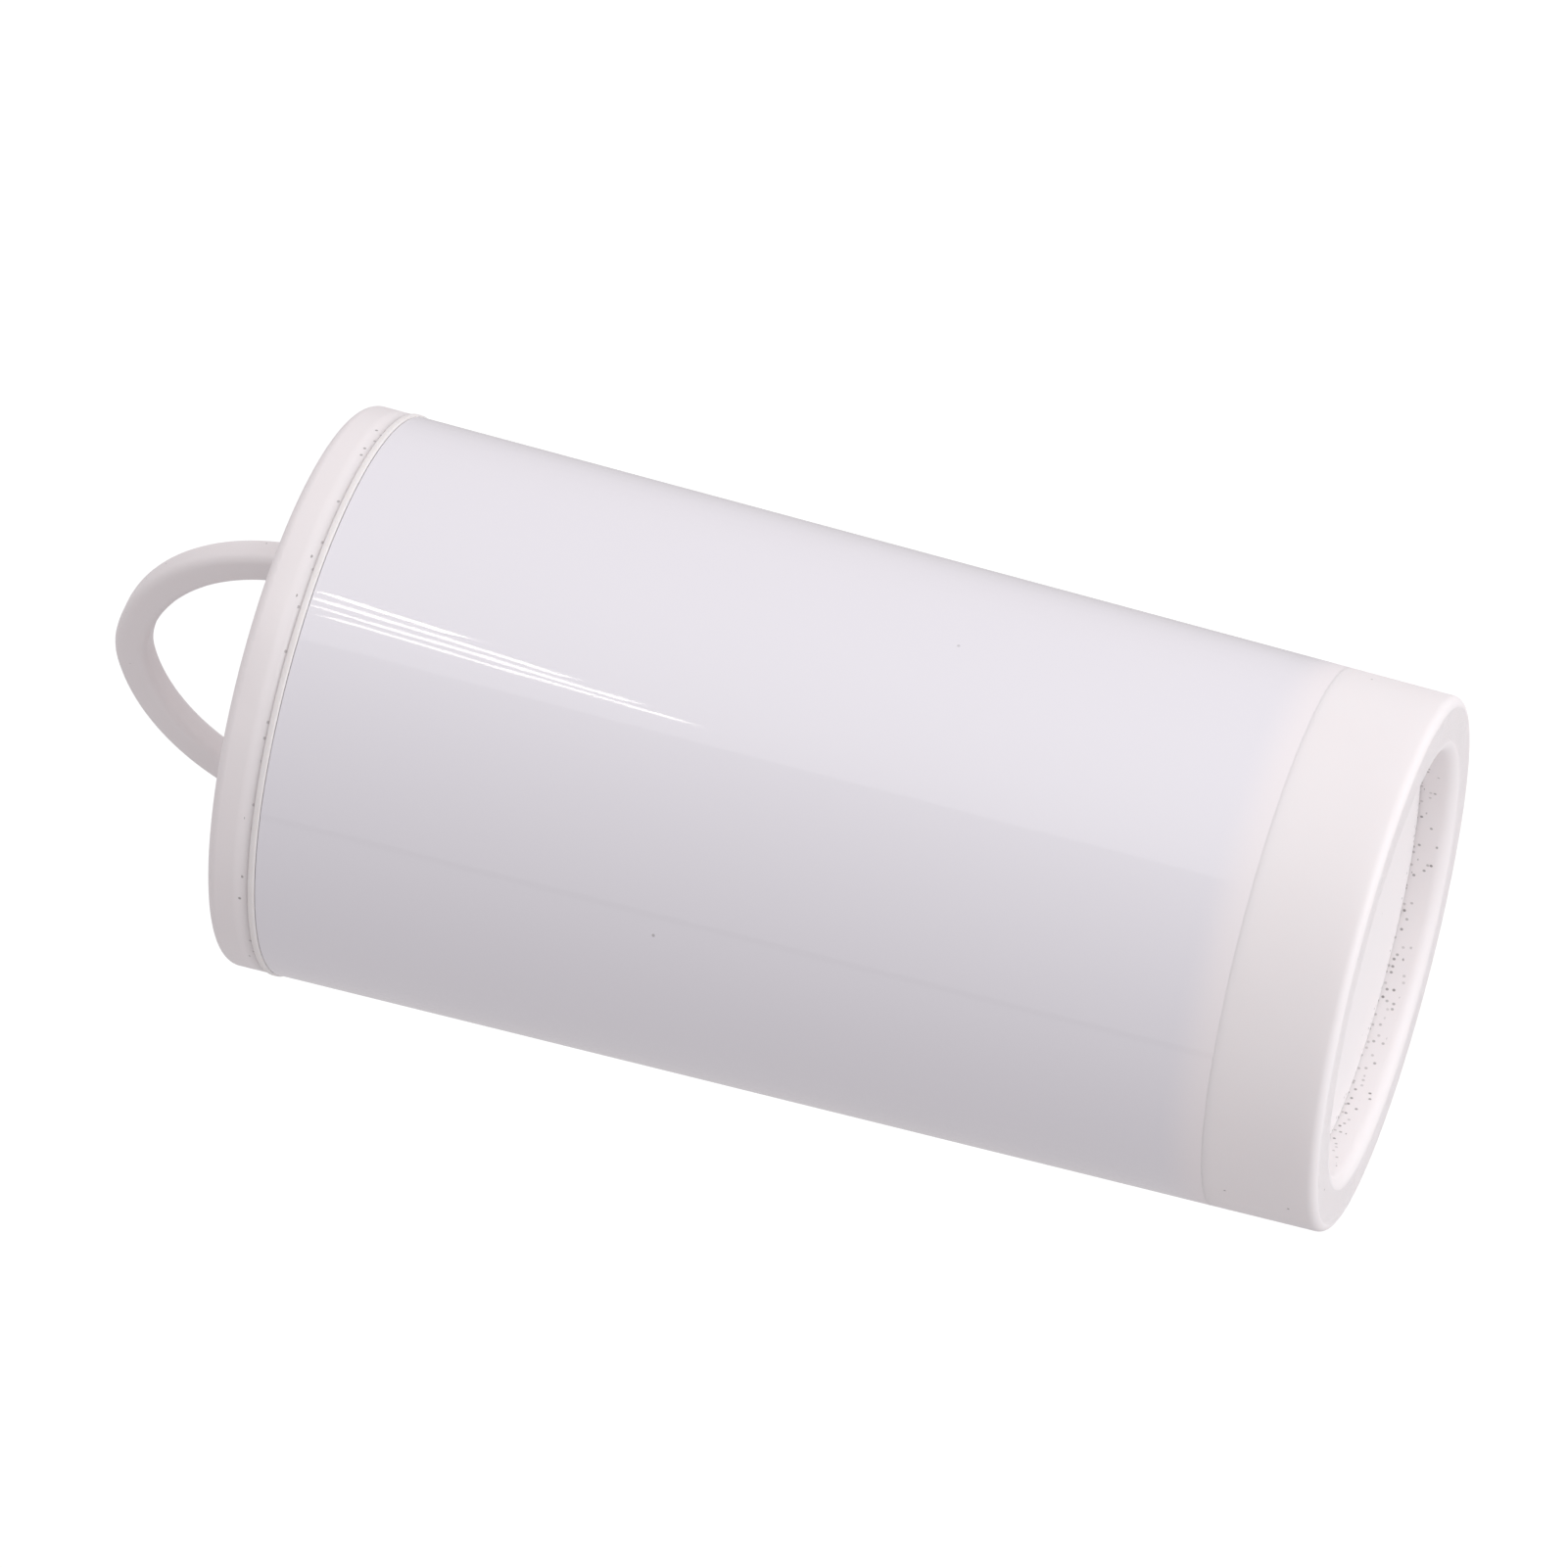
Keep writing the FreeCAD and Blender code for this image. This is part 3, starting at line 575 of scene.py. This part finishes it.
neck_top = barrel_high[2]
neck_floor = neck_top - NECK_DEPTH
panel_start = film_low[2] - FILM_PLAY
panel_depth = FILM_THICKNESS + FILM_PLAY
barrel_outline = rounded_outline([
    (RECESS_RADIUS, 0.0, 1.1 * MM),
    (BASE_RADIUS, 0.0, 0.8 * MM),
    (skin(panel_start), panel_start, 0.0),
    (skin(panel_start) - panel_depth, panel_start, 0.0),
    (skin(neck_top) - panel_depth, neck_top, 0.1 * MM),
    (NECK_RADIUS, neck_top, 0.3 * MM),
    (NECK_RADIUS, neck_floor, 0.1 * MM),
    (BORE_RADIUS, neck_floor, 0.1 * MM),
    (BORE_RADIUS, PLUG_SEAT, 0.05 * MM),
    (RECESS_RADIUS, PLUG_SEAT, 0.05 * MM),
], arc_steps=8)
barrel_shell = turned_piece("barrel_shell", barrel_outline)
finish_with(barrel_shell, polyethylene)
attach(barrel_shell, "barrel")
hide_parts("barrel")

# %% [markdown]
# ## The thread in the neck
#
# The cap screws on to one rib that winds round the inside of the neck. The rib is a four-cornered
# section carried along a helix: it climbs by one pitch for each turn, and its crest sinks back
# into the wall at both ends, as a moulded thread does.

# %% Neck thread
RIB_ROOT = 1.4 * MM
RIB_CREST = 0.8 * MM
RIB_REACH = 1.6 * MM
RIB_START = 5.1 * MM
RIB_FADE = 0.04
RIB_SUNK = 0.2 * MM


def helical_rib(name, wall, start_height, steps=220):
    """Rib inside a wall: at turn t its middle is at angle 2 pi t and height start + pitch * t.

    The crest stands in from the wall by its reach times a ramp that rises over the first part of
    the length and falls over the last.
    """
    turn = np.linspace(0, THREAD_TURNS, steps)
    share = turn / THREAD_TURNS
    ramp = np.clip(np.minimum(share, 1 - share) / RIB_FADE, 0.02, 1)
    root = np.full_like(turn, wall + RIB_SUNK)
    crest = wall - RIB_REACH * ramp
    radius = np.stack([root, crest, crest, root], 1)
    offset = np.array([RIB_ROOT, RIB_CREST, -RIB_CREST, -RIB_ROOT]) / 2
    height = (start_height + THREAD_PITCH * turn)[:, None] + offset[None, :]
    angle = math.tau * turn[:, None]
    points = np.stack([radius * np.cos(angle), radius * np.sin(angle), height], -1).reshape(-1, 3)
    return closed_strip(name, points, steps, 4)


neck_thread = helical_rib("neck_thread", NECK_RADIUS, neck_floor + RIB_START)
finish_with(neck_thread, polyethylene)
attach(neck_thread, "barrel")

# %% [markdown]
# ## The film sleeve
#
# The film was wrapped once and lapped over itself before it was shrunk. The lap is a step as
# high as the film's own lip at one angle, and it fades away round the body, so it shows as one
# faint line along the barrel.

# %% Film sleeve
LAP_ANGLE = math.radians(-67)
LAP_STEP = 0.05 * MM
LAP_FADE = math.radians(35)
FILM_GAP = 0.04 * MM


def film_lap(angle, radius, height):
    """Extra radius at the lap: a step at the lap's angle that falls off smoothly behind it."""
    behind = np.mod(angle - LAP_ANGLE, math.tau)
    outer = radius > skin(height) - FILM_THICKNESS / 2
    fade = np.clip(1 - behind / LAP_FADE, 0, 1)
    return np.where(outer, LAP_STEP * fade ** 2, 0.0)


film_end = gasket_low[2] - FILM_GAP
film_outline = rounded_outline([
    (skin(panel_start) - FILM_THICKNESS, panel_start, 0.0),
    (skin(panel_start), panel_start, 0.0),
    (skin(film_end), film_end, 0.05 * MM),
    (skin(film_end) - FILM_THICKNESS, film_end, 0.0),
], arc_steps=4)
film_wrap = turned_piece("film_wrap", film_outline, around=512, swell=film_lap)
finish_with(film_wrap, film)
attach(film_wrap, "barrel")
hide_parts("film_sleeve")

# %% [markdown]
# ## The base plug
#
# The floor of the recess is a separate moulded plug, pushed in until its flange meets the
# barrel's ledge. An outline that starts and ends on the axis makes a solid disc. Its upstand and
# centre boss are in the same outline, so that the plug is whole when the model is cut open.

# %% Base plug
PLUG_PLAY = 0.08 * MM
PLUG_WALL = 4.3 * MM  # from the bore in to the upstand's inner face
BOSS_RADIUS = 8.5 * MM
BOSS_HEIGHT = 2.5 * MM


def turned_disc(name, outline, around=192):
    """Solid turned about Z from an outline that starts and ends on the axis.

    The first and last points lie on the axis, so their rings are merged into single points.
    """
    angle = np.linspace(0, math.tau, around, endpoint=False)[None, :]
    points = np.stack([outline[:, :1] * np.cos(angle), outline[:, :1] * np.sin(angle),
                       np.repeat(outline[:, 1:], around, 1)], -1).reshape(-1, 3)
    piece = mesh_from_arrays(name, points, open_grid_quads(len(outline), around))
    merge_points(piece.data, 1e-7)
    return piece


plug_top = plug_high[2]
ring_radius = BORE_RADIUS - PLUG_PLAY
plug_outline = rounded_outline([
    (0.0, recess_depth, 0.0),
    (plug_radius, recess_depth, 0.15 * MM),
    (plug_radius, PLUG_SEAT, 0.05 * MM),
    (ring_radius, PLUG_SEAT, 0.05 * MM),
    (ring_radius, plug_top, 0.2 * MM),
    (BORE_RADIUS - PLUG_WALL, plug_top, 0.2 * MM),
    (BORE_RADIUS - PLUG_WALL, PLUG_SEAT, 0.2 * MM),
    (BOSS_RADIUS, PLUG_SEAT, 0.2 * MM),
    (BOSS_RADIUS, PLUG_SEAT + BOSS_HEIGHT, 0.2 * MM),
    (0.0, PLUG_SEAT + BOSS_HEIGHT, 0.0),
])
plug_disc = turned_disc("plug_disc", plug_outline)
finish_with(plug_disc, polyethylene)
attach(plug_disc, "barrel")
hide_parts("base_plug")

# %% [markdown]
# ## The gasket
#
# A flat moulded ring keeps water out of the mouth. It is drawn a little rounder at its outer
# edge than at its inner one, because only the outer edge shows: as the soft bead in the seam.

# %% Gasket
gasket_hole = NECK_RADIUS + 0.3 * MM
gasket_outline = rounded_outline([
    (gasket_hole, gasket_low[2], 0.1 * MM),
    (reach("cap_gasket"), gasket_low[2], 0.16 * MM),
    (reach("cap_gasket"), gasket_high[2], 0.16 * MM),
    (gasket_hole, gasket_high[2], 0.1 * MM),
])
gasket_ring = turned_piece("gasket_ring", gasket_outline)
finish_with(gasket_ring, silicone)
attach(gasket_ring, "gasket")
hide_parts("cap_gasket")

# %% [markdown]
# ## The cap
#
# The cap is the one part that isn't plainly round: it has two slots for the loop, bosses and
# pockets inside, and the thread's rib. Its own CAD mesh has all of that, so a copy is taken,
# its triangles are joined, and every edge that turns sharply stays crisp.

# %% Cap
def smooth_copy(node, name, sharp_angle=32):
    """Copy of a CAD node with its triangles joined, smooth except over sharp edges."""
    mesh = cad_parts[node].data.copy()
    mesh.name = name
    merge_points(mesh, 1e-6)
    mesh.polygons.foreach_set("use_smooth", np.ones(len(mesh.polygons), dtype=bool))
    mesh.set_sharp_from_angle(angle=math.radians(sharp_angle))
    piece = bpy.data.objects.new(name, mesh)
    bpy.context.scene.collection.objects.link(piece)
    print(name, len(mesh.polygons), "faces")
    return piece


cap_shell = smooth_copy("screw_cap", "cap_shell")
finish_with(cap_shell, cap_abs)
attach(cap_shell, "cap")
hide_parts("screw_cap")

# %% [markdown]
# ## The spigot
#
# The spigot under the cap shows only when the cap is unscrewed. It is a plain cylinder, so a
# turned skin a fiftieth of a millimetre proud of it gives it even shading round its rib.

# %% Spigot skin
SPIGOT_PROUD = 0.02 * MM
SPIGOT_SUNK = 0.5 * MM
SPIGOT_RISE = 0.05 * MM

spigot_inner, spigot_outer = SPIGOT_RADIUS - SPIGOT_SUNK, SPIGOT_RADIUS + SPIGOT_PROUD
spigot_foot = cap_low[2] + SPIGOT_RISE
spigot_outline = rounded_outline([
    (spigot_inner, spigot_foot, 0.0),
    (spigot_outer, spigot_foot, 0.2 * MM),
    (spigot_outer, gasket_high[2], 0.0),
    (spigot_inner, gasket_high[2], 0.0),
])
spigot_skin = turned_piece("spigot_skin", spigot_outline)
finish_with(spigot_skin, cap_abs)
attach(spigot_skin, "cap")

# %% [markdown]
# ## The throw loop
#
# The loop is a flat bar moulded as an arch of three arcs: two wide ones that lean in from the
# legs and a tighter one over the top. It is wide enough for a finger. One rounded section is
# carried along the arch, which keeps the bar's width the same all the way round.

# %% Loop
LOOP_ROUNDING = 0.75 * MM


def loop_path(side_points=40, apex_points=14):
    """Centre line of the loop in its own plane, from one leg's foot to the other's.

    Each leg runs straight up to the cap's face and then follows a side arc, which touches a
    tighter arc round the apex. Touching arcs have centres as far apart as their radii differ, and
    the side arc's centre is its inner radius away from the leg's inner foot.
    """
    half = loop_high[0]
    foot = np.array([half - LOOP_BAR, body_length + LOOP_BEND])
    apex = np.array([0, loop_high[2] - LOOP_APEX])
    to_apex, to_foot = LOOP_SIDE - LOOP_APEX, LOOP_SIDE - LOOP_BAR
    span = np.linalg.norm(foot - apex)
    way = (foot - apex) / span
    along = (to_apex ** 2 - to_foot ** 2 + span ** 2) / (2 * span)
    sideways = np.array([way[1], -way[0]]) * math.sqrt(to_apex ** 2 - along ** 2)
    side = apex + way * along + sideways
    side_radius, apex_radius = LOOP_SIDE - LOOP_BAR / 2, LOOP_APEX - LOOP_BAR / 2
    foot_x = half - LOOP_BAR / 2
    start = math.acos((foot_x - side[0]) / side_radius)
    meet = math.atan2(apex[1] - side[1], apex[0] - side[0])
    sweep = np.linspace(start, meet, side_points)[1:]
    top = np.linspace(meet, math.pi / 2, apex_points)[1:]
    bend_z = side[1] + side_radius * math.sin(start)
    leg = np.array([[foot_x, z] for z in (loop_low[2], bend_z - 2 * MM, bend_z - 0.3 * MM)])
    side_arc = side + side_radius * np.stack([np.cos(sweep), np.sin(sweep)], 1)
    apex_arc = apex + apex_radius * np.stack([np.cos(top), np.sin(top)], 1)
    right = np.concatenate([leg, side_arc, apex_arc])
    left = right[-2::-1] * np.array([-1, 1])
    return np.concatenate([right, left])


def bar_section(width, depth, rounding, steps=6):
    """Rounded rectangle about the bar's centre line: (out of the loop, across its plane)."""
    corner = np.linspace(0, math.pi / 2, steps + 1)
    quarters = []
    for turn, sign_out, sign_across in ((0, 1, 1), (1, -1, 1), (2, -1, -1), (3, 1, -1)):
        angle = corner + turn * math.pi / 2
        out = sign_out * (width / 2 - rounding) + rounding * np.cos(angle)
        across = sign_across * (depth / 2 - rounding) + rounding * np.sin(angle)
        quarters.append(np.stack([out, across], 1))
    return np.concatenate(quarters)


def swept_bar(name, path, section):
    """Bar with its section carried along a path in the XZ plane, and its ends closed.

    A point is the path's point plus the section's first number times the outward normal and its
    second number along Y. The normal is the path's direction turned by a quarter.
    """
    along = np.gradient(path, axis=0)
    along /= np.linalg.norm(along, axis=1)[:, None]
    outward = np.stack([along[:, 1], -along[:, 0]], 1)
    flat = path[:, None, :] + section[None, :, :1] * outward[:, None, :]
    across = np.repeat(section[None, :, 1:], len(path), 0)
    points = np.concatenate([flat[..., :1], across, flat[..., 1:]], -1).reshape(-1, 3)
    return closed_strip(name, points, len(path), len(section))


loop_depth = loop_high[1] - loop_low[1]
loop_section = bar_section(LOOP_BAR, loop_depth, LOOP_ROUNDING)
loop_bar = swept_bar("loop_bar", loop_path(), loop_section)
finish_with(loop_bar, cap_abs)
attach(loop_bar, "cap")
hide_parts("throw_loop")

# %% [markdown]
# ## The light
#
# A white studio: an even surround, one large softbox over the body, a fill light for the base,
# and four thin tubes whose reflections draw the bright lines on the film. All of them are placed
# by their direction round the body, measured up from the camera's side of it.

# %% Directions round the body
to_camera = (camera_at - body_middle).normalized()
facing = Vector((to_camera.x, to_camera.y, 0)).normalized()
view_up = body_from_view @ across_in_view
upward = Vector((view_up.x, view_up.y, 0)).normalized()


def round_body(degrees):
    """Unit vector at right angles to the body's axis, this far above the line to the camera."""
    angle = math.radians(degrees)
    return facing * math.cos(angle) + upward * math.sin(angle)


def area_light(name, at, aim, width, height, power, colour, along=Vector((0, 0, 1))):
    """Rectangular light at a point, facing another, with its height side along a direction."""
    data = bpy.data.lights.new(name, "AREA")
    data.shape = "RECTANGLE"
    data.size = width
    data.size_y = height
    data.energy = power
    data.color = linear(colour)[:3]
    lamp = bpy.data.objects.new(name, data)
    back = (at - aim).normalized()
    tall = (along - along.dot(back) * back).normalized()
    turn = Matrix((tall.cross(back), tall, back)).transposed()
    lamp.matrix_world = Matrix.Translation(at) @ turn.to_4x4()
    lamp.visible_camera = False
    bpy.context.scene.collection.objects.link(lamp)
    return lamp


# %% [markdown]
# ### The softbox
#
# The softbox gives the body its shape: bright over the top, darker below. It is brightest at one
# end of its width and falls off to the other, as a lamp does behind a diffuser it isn't centred
# on, so its reflection in the film fades away and has no hard edge.

# %% Softbox
SOFTBOX_ANGLE = 64
SOFTBOX_DISTANCE = 0.60
SOFTBOX_SIZE = (1.30, 0.90)
SOFTBOX_POWER = 2.75
SOFTBOX_ENDS = (1.0, 0.05)
SOFTBOX_REACH = 0.85  # share of its width over which it falls off

softbox_at = body_middle + round_body(SOFTBOX_ANGLE) * SOFTBOX_DISTANCE
softbox = area_light("softbox", softbox_at, body_middle, *SOFTBOX_SIZE, SOFTBOX_POWER, "#FFFFFF")
softbox.data.use_nodes = True
tree = softbox.data.node_tree
tree.nodes.clear()
face = add(tree, "ShaderNodeNewGeometry").outputs["Parametric"]
across = add(tree, "ShaderNodeSeparateXYZ", {0: face}).outputs["X"]
falloff = ramp(tree, across, 0.0, SOFTBOX_REACH, *SOFTBOX_ENDS, smooth=True)
glow = add(tree, "ShaderNodeEmission", {"Strength": falloff})
add(tree, "ShaderNodeOutputLight", {"Surface": glow.outputs[0]})

# %% [markdown]
# ### The fill under the base
#
# The base faces away from the softbox. A second, smaller light from under it makes the rim and
# the recess read as white.

# %% Fill light under the base
base_lamp_at = Vector((0, 0, -0.70)) + facing * 0.25 + upward * 0.15
area_light("base_fill", base_lamp_at, Vector((0, 0, 0)), 0.60, 0.60, 2.8, "#FCFDFF", along=upward)

# %% [markdown]
# ### The tubes
#
# On a mirror-smooth cylinder a lamp shows where its direction is the camera's direction mirrored
# in the surface. Each tube is placed by that rule, from where its reflection should begin and
# end on the body, and needs no trial and error. The tubes light nothing else.

# %% Tube lamps
LAMP_DISTANCE = 0.30
TUBE_WIDTH = 0.0036
TUBE_POWER = 0.0052


def mirrored_place(degrees, height):
    """Where a lamp must be for its reflection to show at this angle and height on the body."""
    out = round_body(degrees)
    spot = Vector((0, 0, height)) + out * skin(height)
    to_view = (camera_at - spot).normalized()
    mirrored = 2 * out.dot(to_view) * out - to_view
    return spot, spot + mirrored * LAMP_DISTANCE


def tube_lamp(name, start, end, width, power):
    """Thin lamp whose reflection runs from one (angle, height) on the body to another."""
    spot_a, lamp_a = mirrored_place(*start)
    spot_b, lamp_b = mirrored_place(*end)
    length = (lamp_b - lamp_a).length
    return area_light(name, (lamp_a + lamp_b) / 2, (spot_a + spot_b) / 2, width, length, power,
                      "#FFFAF2", along=(lamp_b - lamp_a).normalized())


TUBES = [
    ((18.4, 0.0860), (16.8, 0.0740)),
    ((17.0, 0.0870), (14.4, 0.0640)),
    ((15.4, 0.0865), (12.8, 0.0580)),
    ((13.9, 0.0850), (11.5, 0.0530)),
]
for number, (start, end) in enumerate(TUBES, start=1):
    tube = tube_lamp(f"tube_{number}", start, end, TUBE_WIDTH, TUBE_POWER)
    tube.visible_diffuse = False
print("tubes:", len(TUBES))

# %% [markdown]
# ### The surround
#
# The camera sees plain white behind the bumper. What lights it is a little dimmer, and dimmer
# below than above, like a white room lit from its ceiling. The standard view transform keeps
# the whites white, where a filmic one would grey them.

# %% Surround
BACKDROP = 1.05
ROOM_LEVELS = (0.63, 0.90)
ROOM_START = 0.2  # how far up, from 0 level to 1 overhead, the room begins to brighten

bpy.context.scene.view_settings.view_transform = "Standard"
world = bpy.data.worlds.new("white_studio")
bpy.context.scene.world = world
world.use_nodes = True
tree = world.node_tree
tree.nodes.clear()
way = add(tree, "ShaderNodeTexCoord").outputs["Generated"]
overhead = add(tree, "ShaderNodeVectorMath", {0: way, 1: tuple(upward)}, operation="DOT_PRODUCT")
level = ramp(tree, overhead.outputs["Value"], ROOM_START, 1.0, *ROOM_LEVELS, smooth=True)
lit = add(tree, "ShaderNodeBackground", {"Color": linear("#FCF7FA"), "Strength": level})
seen = add(tree, "ShaderNodeBackground", {"Color": linear("#FFFFFF"), "Strength": BACKDROP})
to_lens = add(tree, "ShaderNodeLightPath").outputs["Is Camera Ray"]
mix = add(tree, "ShaderNodeMixShader", {0: to_lens, 1: lit.outputs[0], 2: seen.outputs[0]})
add(tree, "ShaderNodeOutputWorld", {"Surface": mix.outputs[0]})

# %% [markdown]
# ## The floor
#
# The bumper stands on its base rim on a plain pale floor. The camera looks up from under that
# level, so the floor is solid from above and clear from below, and it takes no light from the
# base.

# %% Floor
FLOOR_HALF = 6.0
floor_points = np.array([[-1, -1, 0], [1, -1, 0], [1, 1, 0], [-1, 1, 0]]) * FLOOR_HALF
floor = mesh_from_arrays("studio_floor", floor_points, np.array([[0, 1, 2, 3]]))
floor_material = bpy.data.materials.new("pale_floor")
floor_material.use_nodes = True
tree = floor_material.node_tree
tree.nodes.clear()
paint = add(tree, "ShaderNodeBsdfDiffuse", {"Color": linear("#F2F1F0")})
clear = add(tree, "ShaderNodeBsdfTransparent")
under = add(tree, "ShaderNodeNewGeometry").outputs["Backfacing"]
mix = add(tree, "ShaderNodeMixShader", {0: under, 1: paint.outputs[0], 2: clear.outputs[0]})
add(tree, "ShaderNodeOutputMaterial", {"Surface": mix.outputs[0]})
finish_with(floor, floor_material)
floor.visible_shadow = False
floor.visible_diffuse = False
floor.visible_glossy = False
floor.visible_transmission = False
